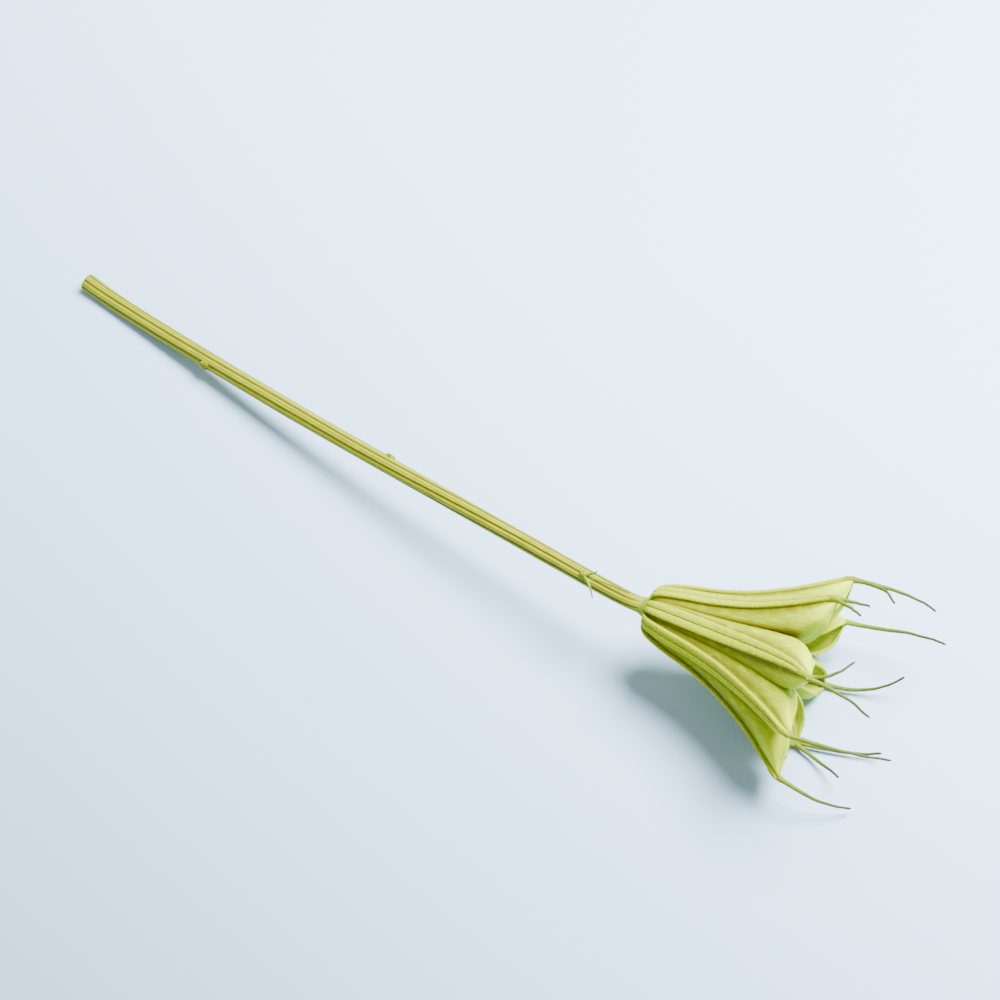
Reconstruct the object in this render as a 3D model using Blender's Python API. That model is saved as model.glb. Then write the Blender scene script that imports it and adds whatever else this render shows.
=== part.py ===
"""A nigella seed pod on its cut stem, lying as it was put down.

Metres, +Z up. The origin is on the surface, under the middle of the whole piece. The stem runs along X
and the pod opens towards +X. The pod is a ring of carpels, grown together round its axis for two thirds
of their length and free beyond. Each is a hollow pouch with a broad band down its back, a mouth along its
inner end and a long thread, its style, at its tip.
"""

import math
from collections import namedtuple

import bmesh
import bpy
from mathutils import Matrix, Vector

MM = 0.001

# The pod
CARPELS = 8
FIRST_TURN = math.radians(22.5)  # from straight up, so that two carpels straddle the lowest line
POD_ROOT = Vector((34.5, 0.0, 13.44)) * MM  # where the carpels spring from, on the pod's axis
POD_PITCH = math.radians(0.5)  # the pod's axis rises a little towards its mouth
POD_YAW = math.radians(10.5)  # it nods a little off the line of its stem
WALL = 0.65 * MM  # of a pouch, thicker than the papery real one
LIP_EDGE = 0.5 * MM  # the wall where it ends at the mouth
OVERLAP = 0.12 * MM  # by which neighbours run into each other where they are grown together
COLLAR_RADIUS = 1.7 * MM
COLLAR_LENGTH = 1.1 * MM  # from the pod's root down to the stem
COLLAR_INSIDE = 2.4 * MM  # and up among the carpels
COLLAR_TAPER = 0.92
COLLAR_SIDES = 14

# A carpel from its root to its tip. Along is measured on the pod's axis from its root and out from that
# axis, both in mm, for the back and for the seam on the inner side. Band is half the width of the raised
# band down the back, swell is how far a flank bulges, and lip is half the gap of the seam.
Station = namedtuple("Station", "back_along back_out seam_along seam_out band swell lip")
STATIONS = (
    Station(0.4, 1.5, 1.0, 0.4, 0.50, 0.20, 0.0),
    Station(-0.3, 2.8, 1.8, 0.4, 0.80, 0.50, 0.0),
    Station(0.9, 4.2, 3.0, 0.4, 1.05, 0.85, 0.0),
    Station(4.4, 5.4, 5.8, 0.4, 1.20, 1.20, 0.0),
    Station(9.0, 6.6, 10.4, 0.5, 1.25, 1.60, 0.0),
    Station(14.1, 8.4, 15.6, 1.6, 1.25, 2.10, 0.1),
    Station(18.7, 10.7, 21.2, 4.0, 1.15, 2.45, 0.7),
    Station(22.3, 12.8, 25.6, 7.2, 1.00, 2.45, 1.4),
    Station(24.8, 14.4, 27.6, 11.0, 0.80, 1.95, 1.4),
    Station(26.5, 15.4, 28.1, 13.6, 0.60, 0.95, 0.5),
    Station(28.1, 16.2, 28.4, 15.2, 0.42, 0.20, 0.0),
)
LAST = len(STATIONS) - 1
SKIN_PLACES = (0, 1, 1.5, 2, 2.6, 3.4, 4.3, 5.2, 6, 6.7, 7.3, 7.9, 8.4, 9, 10)
POUCH_PLACES = (2.8, 3.6, 4.5, 5.3, 5.9, 6.5, 7.1, 7.6, 8.1, 8.5, 8.9)
MOUTH_PLACE = 5.6  # from here to the tip the seam is open
MOUTH_REACH = 1.6 * MM  # by which the pouch's hollow runs out past the seam
POUCH_ROOF = 0.9 * MM  # the hollow's depth below the back
POUCH_INNER = 2.6 * MM  # the hollow comes no nearer the axis
POUCH_NARROWEST = 0.18 * MM
FLANK_SHARES = (0.25, 0.5, 0.75)  # of the way from the band's foot to the seam

# What sets each carpel apart, counted round from the top: its shift in degrees off its even place and, in mm
# at its tip, its flare from the axis, its stretch and its sway. The two that the pod rests on are alike.
Quirk = namedtuple("Quirk", "shift flare stretch sway")
QUIRKS = (
    Quirk(1.0, -0.3, 0.5, 2.0),
    Quirk(-3.0, 0.2, 0.3, 0.4),
    Quirk(2.0, 0.8, -0.6, 0.8),
    Quirk(0.0, -1.2, -1.0, 0.0),
    Quirk(0.0, -1.2, -1.0, 0.0),
    Quirk(-2.0, 0.3, -1.4, -0.9),
    Quirk(1.5, -0.4, -0.8, 1.1),
    Quirk(1.0, -0.2, -0.6, 0.3),
)

# The back's band in section: a groove down its middle between two low ridges, then its foot
MID_GROOVE = 0.14 * MM
RIDGE_RISE = 0.10 * MM
BAND_EDGE = 0.10 * MM
BAND_FOOT = 0.55 * MM
BAND_WAIST = 0.92  # the band's width at its foot, as a share of its width

# The styles. A style may have split or broken, so each carpel, in the same order, has one or two threads: its
# length, and as shares of that how far it leans out from the pod's axis and to the side, its curl to the side
# and the hook at its end.
Thread = namedtuple("Thread", "length lean sideways curl hook")
STYLES = (
    (Thread(10.5 * MM, 0.10, 0.05, 0.10, 0.05), Thread(5.5 * MM, 0.20, -0.15, -0.45, -0.25)),
    (Thread(15.5 * MM, 0.08, -0.05, -0.12, 0.16),),
    (Thread(12.0 * MM, 0.25, 0.10, 0.25, 0.10),),
    (Thread(9.0 * MM, 0.05, -0.25, -0.20, -0.10), Thread(13.0 * MM, 0.02, 0.12, 0.15, -0.12)),
    (Thread(11.5 * MM, 0.04, 0.08, 0.30, 0.12),),
    (Thread(16.5 * MM, 0.16, 0.05, 0.28, -0.10),),
    (Thread(8.0 * MM, 0.15, 0.16, 0.10, 0.20), Thread(13.5 * MM, 0.22, -0.18, -0.20, 0.05)),
    (Thread(4.5 * MM, 0.06, 0.16, 0.08, 0.0), Thread(5.0 * MM, 0.12, -0.12, -0.10, 0.0)),
)
STYLE_ROOT = 0.50 * MM  # radius
STYLE_TIP = 0.32 * MM
STYLE_STEPS = 7
STYLE_BEND = 0.12  # towards the pod's axis
STYLE_SPREAD = 1.2 * MM  # times how far a thread leans to the side, is how far aside it starts

# The stem, from its cut end. It goes on to the pod's collar.
STEM_ROUTE = tuple(
    Vector(point) * MM
    for point in (
        (-79.0, 3.2, 1.36),
        (-67.0, 2.5, 1.38),
        (-35.0, 0.9, 5.20),
        (-3.0, -0.2, 9.70),
        (26.5, -0.75, 13.10),
    )
)
STEM_STEPS = 20
STEM_CUT_RADIUS = 1.5 * MM
STEM_TOP_RADIUS = 1.3 * MM
STEM_RIBS = 7
RIB_DEPTH = 0.16  # share of the radius
RIB_TWIST = math.radians(70)
JOINT_GAP = 0.3 * MM

# Where leaves grew: the share of the way along the stem and the turn round it from straight up. The last
# still carries what is left of its leaf, a piece of its own.
LEAF_SCARS = ((0.30, math.radians(75)), (0.52, math.radians(-60)), (0.77, math.radians(25)))
SCAR_RADIUS = 0.75 * MM
SCAR_RISE = 0.45 * MM

# What is left of the leaf: a short stalk that divides into threads. For each thread: length, lean to the
# side, rise and curl.
STALK_RADIUS = 0.46 * MM
STALK_LENGTH = 2.2 * MM
LEAF_THREADS = ((8.0 * MM, 0.20, 0.30, -0.38), (5.0 * MM, -0.45, 0.45, 0.25), (3.2 * MM, 0.55, 0.75, 0.10))
THREAD_RADIUS = 0.36 * MM
THREAD_SHARES = (0, 0.25, 0.5, 0.75, 1)  # where a thread's points lie along it

FLOOR_GAP = 0.35 * MM  # what hangs low stays this far above the surface
FLOOR_EASE = 0.4 * MM  # and bends away from it over about this height
FLOOR_BLOCK = 0.3

Carpel = namedtuple("Carpel", "turn before after flare stretch sway threads")


def clear_scene():
    for found in list(bpy.data.objects):
        bpy.data.objects.remove(found, do_unlink=True)


def material(name, colour, roughness):
    made = bpy.data.materials.new(name)
    made.use_nodes = True
    shader = made.node_tree.nodes["Principled BSDF"]
    shader.inputs["Base Color"].default_value = (*colour, 1.0)
    shader.inputs["Roughness"].default_value = roughness
    shader.inputs["Metallic"].default_value = 0.0
    return made


def collection(name):
    made = bpy.data.collections.new(name)
    bpy.context.scene.collection.children.link(made)
    return made


def smooth(rows, place):
    """A Catmull-Rom curve through rows of numbers, read at a place counted in rows."""
    last = len(rows) - 1
    first = min(int(place), last - 1)
    share = place - first
    a, b, c, d = (rows[min(max(first + step, 0), last)] for step in (-1, 0, 1, 2))

    def between(p, q, r, s):
        bend = 2 * p - 5 * q + 4 * r - s
        turn = 3 * q - p - 3 * r + s
        return 0.5 * (2 * q + (r - p) * share + bend * share**2 + turn * share**3)

    return [between(*values) for values in zip(a, b, c, d)]


def carpels_of_the_pod():
    """Each carpel's place round the axis, the room to its neighbours and how it differs."""
    pitch = 2 * math.pi / CARPELS
    turns = [FIRST_TURN + pitch * index + math.radians(quirk.shift) for index, quirk in enumerate(QUIRKS)]
    made = []
    for index, quirk in enumerate(QUIRKS):
        made.append(
            Carpel(
                turn=turns[index],
                before=(turns[index] - turns[index - 1]) % (2 * math.pi) / 2,
                after=(turns[(index + 1) % CARPELS] - turns[index]) % (2 * math.pi) / 2,
                flare=quirk.flare * MM,
                stretch=quirk.stretch * MM,
                sway=quirk.sway * MM,
                threads=STYLES[index],
            )
        )
    return made


def axes_of(carpel):
    """Outwards and sideways for a carpel, in the pod's own frame, whose Z is the pod's axis."""
    out = Vector((math.cos(carpel.turn), math.sin(carpel.turn), 0))
    side = Vector((-math.sin(carpel.turn), math.cos(carpel.turn), 0))
    return out, side


def carpel_point(carpel, place, along, outwards, sideways):
    """A point of a carpel in the pod's frame. What sets this carpel apart grows towards its tip."""
    out, side = axes_of(carpel)
    grown = (place / LAST) ** 3
    return (
        Vector((0, 0, along + carpel.stretch * grown))
        + out * (outwards + carpel.flare * grown)
        + side * (sideways + carpel.sway * grown)
    )


def flank_width(station, share):
    """Half the carpel's width between the band's foot (share 0) and the seam (share 1)."""
    edge = station.lip + LIP_EDGE
    bulge = station.swell * math.sin(math.pi * share**0.8)
    return BAND_WAIST * station.band * (1 - share) + edge * share + bulge


def station_at(place):
    """The carpel's measures at a place, in metres."""
    return Station(*(value * MM for value in smooth(STATIONS, place)))


def skin_ring(carpel, place):
    """The carpel's outline in section, from the middle of its back round by a flank, the seam and a flank."""
    station = station_at(place)
    back = Vector((station.back_along, station.back_out))
    seam = Vector((station.seam_along, station.seam_out))
    depth = (seam - back).length
    half = [
        (-RIDGE_RISE, 0.5 * station.band),
        (BAND_EDGE, station.band),
        (BAND_FOOT, BAND_WAIST * station.band),
    ]
    for share in (*FLANK_SHARES, 1.0):
        half.append((BAND_FOOT + (depth - BAND_FOOT) * share, flank_width(station, share)))

    def point(deep, wide, way):
        along, outwards = back + (seam - back) * (deep / depth)
        room = outwards * math.tan(carpel.after if way > 0 else carpel.before) + OVERLAP
        return carpel_point(carpel, place, along, outwards, way * min(wide, max(room, 0.1 * MM)))

    ring = [point(MID_GROOVE, 0.0, 1)]
    ring += [point(deep, wide, 1) for deep, wide in half]
    ring += [point(deep, wide, -1) for deep, wide in reversed(half)]
    return ring


def seam_normal(place):
    """The way out of the seam in the carpel's own plane, as (along, out)."""
    before, after = station_at(max(place - 0.2, 0)), station_at(min(place + 0.2, LAST))
    run = Vector((after.seam_along - before.seam_along, after.seam_out - before.seam_out)).normalized()
    return Vector((run.y, -run.x))


def pouch_ring(carpel, place):
    """The outline of the hollow inside a carpel. Past MOUTH_PLACE it runs out through the seam."""
    station = station_at(place)
    back = Vector((station.back_along, station.back_out))
    seam = Vector((station.seam_along, station.seam_out))
    inwards = (seam - back).normalized()
    depth = (seam - back).length
    open_here = place > MOUTH_PLACE
    # nearer the axis there is no room for a hollow
    floor = depth if open_here else depth - max(WALL, (POUCH_INNER - seam.y) / -inwards.y)
    flank = [POUCH_ROOF + (floor - POUCH_ROOF) * share for share in (0.0, 0.35, 0.7, 1.0)]
    half = []
    for deep in flank:
        wide = flank_width(station, max(deep - BAND_FOOT, 0) / (depth - BAND_FOOT)) - WALL
        half.append((back + inwards * deep, wide))
    if open_here:
        half[-1] = (seam, station.lip)
        half.append((seam + seam_normal(place) * MOUTH_REACH, station.lip))
    else:
        half.append((back + inwards * (floor + 0.1 * MM), 0.5 * half[-1][1]))

    def point(spot, wide, way):
        along, outwards = spot
        room = outwards * math.tan(carpel.after if way > 0 else carpel.before) - WALL
        wide = max(min(wide, room), POUCH_NARROWEST)
        return carpel_point(carpel, place, along, outwards, way * wide)

    return [point(*place_in, 1) for place_in in half] + [point(*place_in, -1) for place_in in reversed(half)]


def loft(name, rings, into):
    """A closed solid through outlines that have the same number of points, with a flat cap at each end."""
    built = bmesh.new()
    rows = [[built.verts.new(point) for point in ring] for ring in rings]
    for near, far in zip(rows, rows[1:]):
        for index in range(len(near)):
            following = (index + 1) % len(near)
            built.faces.new((near[index], near[following], far[following], far[index]))
    built.faces.new(rows[0][::-1])
    built.faces.new(rows[-1])
    bmesh.ops.recalc_face_normals(built, faces=built.faces)
    mesh = bpy.data.meshes.new(name)
    built.to_mesh(mesh)
    built.free()
    made = bpy.data.objects.new(name, mesh)
    into.objects.link(made)
    return made


def solid_from_curve(curve_object, into):
    """The curve's closed mesh, with its caps welded on, in place of the curve."""
    bpy.context.view_layer.update()
    graph = bpy.context.evaluated_depsgraph_get()
    mesh = bpy.data.meshes.new_from_object(curve_object.evaluated_get(graph))
    welded = bmesh.new()
    welded.from_mesh(mesh)
    bmesh.ops.remove_doubles(welded, verts=welded.verts, dist=0.001 * MM)
    bmesh.ops.recalc_face_normals(welded, faces=welded.faces)
    welded.to_mesh(mesh)
    welded.free()
    name = curve_object.name
    made = bpy.data.objects.new(name, mesh)
    made.matrix_world = curve_object.matrix_world
    bpy.data.objects.remove(curve_object, do_unlink=True)
    made.name = name
    into.objects.link(made)
    return made


def thread(name, points, radii, into, resolution=1, profile=None, twist=0.0):
    """A tapering rod through points, as a solid. With a profile curve the rod has that section."""
    curve = bpy.data.curves.new(name, "CURVE")
    curve.dimensions = "3D"
    curve.use_fill_caps = True
    if profile is None:
        curve.bevel_depth = 1.0
        curve.bevel_resolution = resolution
    else:
        curve.bevel_mode = "OBJECT"
        curve.bevel_object = profile
    spline = curve.splines.new("POLY")
    spline.points.add(len(points) - 1)
    for index, (place, radius) in enumerate(zip(points, radii)):
        spline.points[index].co = (*place, 1.0)
        spline.points[index].radius = radius
        spline.points[index].tilt = twist * index / (len(points) - 1)
    made = bpy.data.objects.new(name, curve)
    bpy.context.scene.collection.objects.link(made)
    return solid_from_curve(made, into)


def above_the_surface(point, clearance):
    """The point, eased up where it would come lower than clearance."""
    higher = 0.5 * (point.z + clearance + math.hypot(point.z - clearance, FLOOR_EASE))
    return Vector((point.x, point.y, higher))


def pod_frame():
    """From the pod's own frame, Z along its axis and X upwards, to the world."""
    level = math.cos(POD_PITCH)
    axis = Vector((level * math.cos(POD_YAW), level * math.sin(POD_YAW), math.sin(POD_PITCH)))
    side = axis.cross(Vector((0, 0, 1))).normalized()
    up = side.cross(axis)
    turned = Matrix((up, axis.cross(up), axis)).transposed().to_4x4()
    return Matrix.Translation(POD_ROOT) @ turned


def style_points(carpel, style, frame):
    """A thread's line in the world: on from the tip of the carpel's back, bending and curling on its way."""
    out, side = axes_of(carpel)
    near, end = station_at(LAST - 1), station_at(LAST)
    aside = style.sideways * STYLE_SPREAD
    root = carpel_point(carpel, LAST - 1, near.back_along, near.back_out - STYLE_ROOT, aside)
    tip = carpel_point(carpel, LAST, end.back_along, end.back_out - STYLE_ROOT, aside)
    start = (Vector((0, 0, 1)) + out * style.lean + side * style.sideways).normalized()
    bend = side * style.curl - out * STYLE_BEND
    hook = side * style.hook - out * abs(style.hook)
    points = [frame @ root]
    for step in range(STYLE_STEPS):
        run = step / (STYLE_STEPS - 1)
        local = tip + (start * run + bend * run**2 + hook * run**4) * style.length
        points.append(above_the_surface(frame @ local, FLOOR_GAP + STYLE_ROOT))
    return points


def taper(first, last, count):
    return [first + (last - first) * step / (count - 1) for step in range(count)]


def apply_modifiers(obj):
    """The object's evaluated mesh in place of its own, and no modifiers left."""
    bpy.context.view_layer.update()
    graph = bpy.context.evaluated_depsgraph_get()
    obj.data = bpy.data.meshes.new_from_object(obj.evaluated_get(graph))
    obj.modifiers.clear()


def keep_main_body(obj):
    """Drops the slivers that a union leaves where two flanks only just touch."""
    trimmed = bmesh.new()
    trimmed.from_mesh(obj.data)
    bodies, seen = [], set()
    for first in trimmed.verts:
        if first in seen:
            continue
        seen.add(first)
        body, waiting = [], [first]
        while waiting:
            vertex = waiting.pop()
            body.append(vertex)
            for edge in vertex.link_edges:
                other = edge.other_vert(vertex)
                if other not in seen:
                    seen.add(other)
                    waiting.append(other)
        bodies.append(body)
    for body in sorted(bodies, key=len)[:-1]:
        bmesh.ops.delete(trimmed, geom=body, context="VERTS")
    trimmed.to_mesh(obj.data)
    trimmed.free()


def join_into(base, pieces):
    """One Boolean union of base and the collection's objects, which are then removed."""
    union = base.modifiers.new("grown together", "BOOLEAN")
    union.operation = "UNION"
    union.operand_type = "COLLECTION"
    union.collection = pieces
    union.solver = "MANIFOLD"
    apply_modifiers(base)
    keep_main_body(base)
    for piece in list(pieces.objects):
        bpy.data.objects.remove(piece, do_unlink=True)
    bpy.data.collections.remove(pieces)


def cut_away(obj, cutters):
    """Takes the collection's objects out of obj. They stay as helpers that don't render."""
    cut = obj.modifiers.new("cut", "BOOLEAN")
    cut.operation = "DIFFERENCE"
    cut.operand_type = "COLLECTION"
    cut.collection = cutters
    cut.solver = "MANIFOLD"
    for cutter in cutters.objects:
        cutter.hide_render = True
        cutter.display_type = "WIRE"


def block_below(name, into):
    """A block under the surface, which flattens whatever the piece rests on."""
    built = bmesh.new()
    bmesh.ops.create_cube(built, size=FLOOR_BLOCK, matrix=Matrix.Translation((0, 0, -FLOOR_BLOCK / 2)))
    mesh = bpy.data.meshes.new(name)
    built.to_mesh(mesh)
    built.free()
    made = bpy.data.objects.new(name, mesh)
    into.objects.link(made)


def collar(frame, into):
    """The ring that the carpels grow from, where the flower's leaves sat. It is the pod's own base."""
    built = bmesh.new()
    length = COLLAR_LENGTH + COLLAR_INSIDE
    middle = Matrix.Translation((0, 0, length / 2 - COLLAR_LENGTH))
    bmesh.ops.create_cone(
        built,
        cap_ends=True,
        segments=COLLAR_SIDES,
        radius1=COLLAR_TAPER * COLLAR_RADIUS,
        radius2=COLLAR_RADIUS,
        depth=length,
        matrix=frame @ middle,
    )
    mesh = bpy.data.meshes.new("seed_pod")
    built.to_mesh(mesh)
    built.free()
    made = bpy.data.objects.new("seed_pod", mesh)
    into.objects.link(made)
    return made


def build_pod(into, skin):
    frame = pod_frame()
    pod = collar(frame, into)
    pieces, cutters = collection("carpels"), collection("pod cutters")
    for index, carpel in enumerate(carpels_of_the_pod()):
        rings = [[frame @ point for point in skin_ring(carpel, place)] for place in SKIN_PLACES]
        loft(f"carpel_{index}", rings, pieces)
        hollow = [[frame @ point for point in pouch_ring(carpel, place)] for place in POUCH_PLACES]
        loft(f"pouch_{index}", hollow, cutters)
        for style in carpel.threads:
            points = style_points(carpel, style, frame)
            thread(f"style_{index}", points, taper(STYLE_ROOT, STYLE_TIP, len(points)), pieces)
    join_into(pod, pieces)
    block_below("surface_under_pod", cutters)
    cut_away(pod, cutters)
    pod.data.materials.clear()
    pod.data.materials.append(skin)
    pod.data.shade_smooth()
    pod.data.set_sharp_from_angle(angle=math.radians(40))
    return pod


def stem_point(share):
    """A point of the stem's middle line, from its cut end (share 0) to just short of the pod's collar (1)."""
    top = pod_frame() @ Vector((0, 0, -COLLAR_LENGTH - JOINT_GAP))
    return Vector(smooth((*STEM_ROUTE, top), share * len(STEM_ROUTE)))


def stem_radius(share):
    return STEM_CUT_RADIUS + (STEM_TOP_RADIUS - STEM_CUT_RADIUS) * share


def stem_side(share, turn):
    """The way out of the stem at a share of its length, turned about it from straight up."""
    run = (stem_point(min(share + 0.01, 1)) - stem_point(max(share - 0.01, 0))).normalized()
    side = run.cross(Vector((0, 0, 1))).normalized()
    up = side.cross(run)
    return up * math.cos(turn) + side * math.sin(turn), run


def ribbed_profile():
    """A unit circle with shallow ribs, the section of the stem."""
    curve = bpy.data.curves.new("stem_section", "CURVE")
    spline = curve.splines.new("POLY")
    count = 2 * STEM_RIBS
    spline.points.add(count - 1)
    for index in range(count):
        reach = 1.0 if index % 2 == 0 else 1.0 - RIB_DEPTH
        turn = 2 * math.pi * index / count
        spline.points[index].co = (reach * math.cos(turn), reach * math.sin(turn), 0, 1)
    spline.use_cyclic_u = True
    made = bpy.data.objects.new("stem_section", curve)
    made.hide_render = True
    bpy.context.scene.collection.objects.link(made)
    return made


def leaf_scar(name, scar, into):
    """The low cushion that a leaf leaves where it grew."""
    share, turn = scar
    out, _ = stem_side(share, turn)
    foot = stem_point(share)
    reach = stem_radius(share)
    points = [foot, foot + out * (reach - 0.1 * MM), foot + out * (reach + SCAR_RISE)]
    thread(name, points, [SCAR_RADIUS, SCAR_RADIUS, 0.7 * SCAR_RADIUS], into, resolution=2)


def build_stem(into, skin):
    profile = ribbed_profile()
    shares = [step / (STEM_STEPS - 1) for step in range(STEM_STEPS)]
    points = [stem_point(share) for share in shares]
    radii = [stem_radius(share) for share in shares]
    stem = thread("stem", points, radii, into, profile=profile, twist=RIB_TWIST)
    pieces, cutters = collection("leaf scars"), collection("stem cutters")
    for index, scar in enumerate(LEAF_SCARS):
        leaf_scar(f"scar_{index}", scar, pieces)
    join_into(stem, pieces)
    block_below("surface_under_stem", cutters)
    cut_away(stem, cutters)
    stem.data.materials.clear()
    stem.data.materials.append(skin)
    stem.data.shade_smooth()
    stem.data.set_sharp_from_angle(angle=math.radians(25))
    return stem


def build_leaf(into, skin):
    """What is left of the leaf nearest the pod, on its scar."""
    share, turn = LEAF_SCARS[-1]
    out, run = stem_side(share, turn)
    side = out.cross(run)
    foot = stem_point(share) + out * (stem_radius(share) + SCAR_RISE + JOINT_GAP)
    knee = foot + out * (0.4 * STALK_LENGTH)
    top = foot + (out * 0.65 + run * 0.6) * STALK_LENGTH
    leaf = thread("leaf_remnant", [foot, knee, top], [1.3 * STALK_RADIUS, STALK_RADIUS, THREAD_RADIUS], into)
    pieces = collection("leaf threads")
    for index, (length, lean, rise, curl) in enumerate(LEAF_THREADS):
        ahead = (run + side * lean + out * rise).normalized()
        bend = (out + side * lean) * curl
        points = [(knee + top) / 2 + (ahead * s + bend * s**2) * length for s in THREAD_SHARES]
        thread(f"leaf_thread_{index}", points, [THREAD_RADIUS] * len(points), pieces)
    join_into(leaf, pieces)
    leaf.data.materials.clear()
    leaf.data.materials.append(skin)
    leaf.data.shade_smooth()
    return leaf


def centre_over_origin(parts, helpers):
    """Parents everything to an empty and moves that, so that the parts' box is centred over the origin."""
    bpy.context.view_layer.update()
    graph = bpy.context.evaluated_depsgraph_get()
    across, along = [], []
    for part in parts.objects:
        shown = part.evaluated_get(graph)
        for vertex in shown.data.vertices:
            place = shown.matrix_world @ vertex.co
            along.append(place.x)
            across.append(place.y)
    base = bpy.data.objects.new("nigella_seed_pod", None)
    base.location = (-(min(along) + max(along)) / 2, -(min(across) + max(across)) / 2, 0)
    for moved in [*parts.objects, *helpers]:
        moved.parent = base
    parts.objects.link(base)


def main():
    clear_scene()
    parts = collection("nigella seed pod")
    build_pod(parts, material("pod skin", (0.50, 0.52, 0.10), 0.55))
    build_stem(parts, material("stem skin", (0.60, 0.57, 0.20), 0.6))
    build_leaf(parts, material("leaf skin", (0.38, 0.47, 0.06), 0.65))
    centre_over_origin(parts, [found for found in bpy.data.objects if found.hide_render])


main()
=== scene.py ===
"""A dried nigella seed pod on its cut stem, lying on a pale sheet.

The pod is eight papery pouches round an axis, grown together below and free above. Each is one thin sheet,
folded from lip to lip over its back, and ends in dried threads. The stem is a long ribbed rod with the
scars of its leaves, and one scar still holds what is left of a leaf. Lengths are in metres.
"""

import math
from collections import namedtuple

import bmesh
import bpy
from mathutils import Matrix, Vector, noise


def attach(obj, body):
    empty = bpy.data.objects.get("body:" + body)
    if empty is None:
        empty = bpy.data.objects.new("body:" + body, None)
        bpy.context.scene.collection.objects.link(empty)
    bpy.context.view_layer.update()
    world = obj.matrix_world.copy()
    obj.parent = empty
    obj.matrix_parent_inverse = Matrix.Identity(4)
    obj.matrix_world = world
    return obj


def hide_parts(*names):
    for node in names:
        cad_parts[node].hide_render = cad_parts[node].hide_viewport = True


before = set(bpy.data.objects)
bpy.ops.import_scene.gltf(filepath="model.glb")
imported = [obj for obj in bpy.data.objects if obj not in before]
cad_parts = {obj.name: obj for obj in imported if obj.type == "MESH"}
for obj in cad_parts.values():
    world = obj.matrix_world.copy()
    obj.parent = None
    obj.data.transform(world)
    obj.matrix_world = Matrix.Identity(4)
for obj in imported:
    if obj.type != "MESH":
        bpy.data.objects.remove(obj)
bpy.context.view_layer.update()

MM = 0.001
LOWEST = 0.02 * MM  # where the flats that the piece rests on lie

# Where the pod lies. The whole piece is centred over the origin, so the pod's root stands off it by this.
CENTRING = Vector((-0.3703, -6.6248, 0.0)) * MM
POD_ROOT = Vector((34.5, 0.0, 13.44)) * MM + CENTRING
POD_PITCH = math.radians(0.5)
POD_YAW = math.radians(10.5)

# A pouch from its root to its tip, in mm: its back and its seam along and out from the pod's axis, half the
# width of the band down its back, the bulge of its flanks and half the gap of its mouth
Station = namedtuple("Station", "back_along back_out seam_along seam_out band swell lip")
STATIONS = (
    Station(0.4, 1.5, 1.0, 0.4, 0.50, 0.20, 0.0),
    Station(-0.3, 2.8, 1.8, 0.4, 0.80, 0.50, 0.0),
    Station(0.9, 4.2, 3.0, 0.4, 1.05, 0.85, 0.0),
    Station(4.4, 5.4, 5.8, 0.4, 1.20, 1.20, 0.0),
    Station(9.0, 6.6, 10.4, 0.5, 1.25, 1.60, 0.0),
    Station(14.1, 8.4, 15.6, 1.6, 1.25, 2.10, 0.1),
    Station(18.7, 10.7, 21.2, 4.0, 1.15, 2.45, 0.7),
    Station(22.3, 12.8, 25.6, 7.2, 1.00, 2.45, 1.4),
    Station(24.8, 14.4, 27.6, 11.0, 0.80, 1.95, 1.4),
    Station(26.5, 15.4, 28.1, 13.6, 0.60, 0.95, 0.5),
    Station(28.1, 16.2, 28.4, 15.2, 0.42, 0.20, 0.0),
)
LAST = len(STATIONS) - 1
POUCHES = 8
FIRST_TURN = math.radians(22.5)
# Each pouch's shift in degrees, and its flare, stretch and sway in mm at its tip, counted from the top
QUIRKS = (
    (1.0, -0.3, 0.5, 2.0),
    (-3.0, 0.2, 0.3, 0.4),
    (2.0, 0.8, -0.6, 0.8),
    (0.0, -1.2, -1.0, 0.0),
    (0.0, -1.2, -1.0, 0.0),
    (-2.0, 0.3, -1.4, -0.9),
    (1.5, -0.4, -0.8, 1.1),
    (1.0, -0.2, -0.6, 0.3),
)

# Half of a pouch's section from the middle of its back: how deep, in mm, and how wide, in band widths. The
# flank goes on from the last.
BAND_SECTION = (
    (0.13, 0.0),
    (0.02, 0.06),
    (-0.05, 0.14),
    (-0.11, 0.42),
    (-0.08, 0.72),
    (0.02, 0.92),
    (0.16, 1.00),
    (0.36, 0.99),
    (0.52, 0.93),
    (0.60, 0.90),
)
BAND_SHARE = 0.40  # of the columns on each side, for the band
BAND_FULL_DEPTH = 2.2 * MM  # of a pouch whose band has its full relief
BAND_FOOT = 0.55 * MM
BAND_WAIST = 0.92  # width where the flanks begin, in band widths
FOOT_SHARE = 1.09  # the section's last depth, in band feet
WAIST_SHARE = 0.1  # of the flank, over which it takes on the waist's width
FLANK_CROWDING = 0.92  # below 1, the sheet's columns lie closer towards the lip
BULGE_CROWDING = 0.8  # and the flank bulges most above its middle
PAPER = 0.28 * MM  # the sheet's thickness
OVERLAP = 0.12 * MM
COLUMNS = 92
ROWS = 120
MOUTH_OPENS = (5.8, 7.0)  # places between which the lips part
MOUTH_CLOSES = (8.4, 9.6)
LIP_CURL = 0.38 * MM
CURL_RANGE = (0.86, 1.0)  # of the way down the flank
WRINKLE = 0.30 * MM
FINE_WRINKLE = 0.35 * WRINKLE
WRINKLE_RANGE = (2.0, 6.0)  # places between which the wrinkles grow
BACK_WAVE = 0.10 * MM
WAVE_RANGE = (1, 3)
SNUG_GAP = 0.9 * MM  # a flank nearer its neighbour than this lies in a crease, which gets painted shade
CREASE_SHADE_RANGE = (0.0, 0.15)  # of the way down the flank, where the painted shade in the crease begins
NARROWEST = 0.1 * MM

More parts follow.
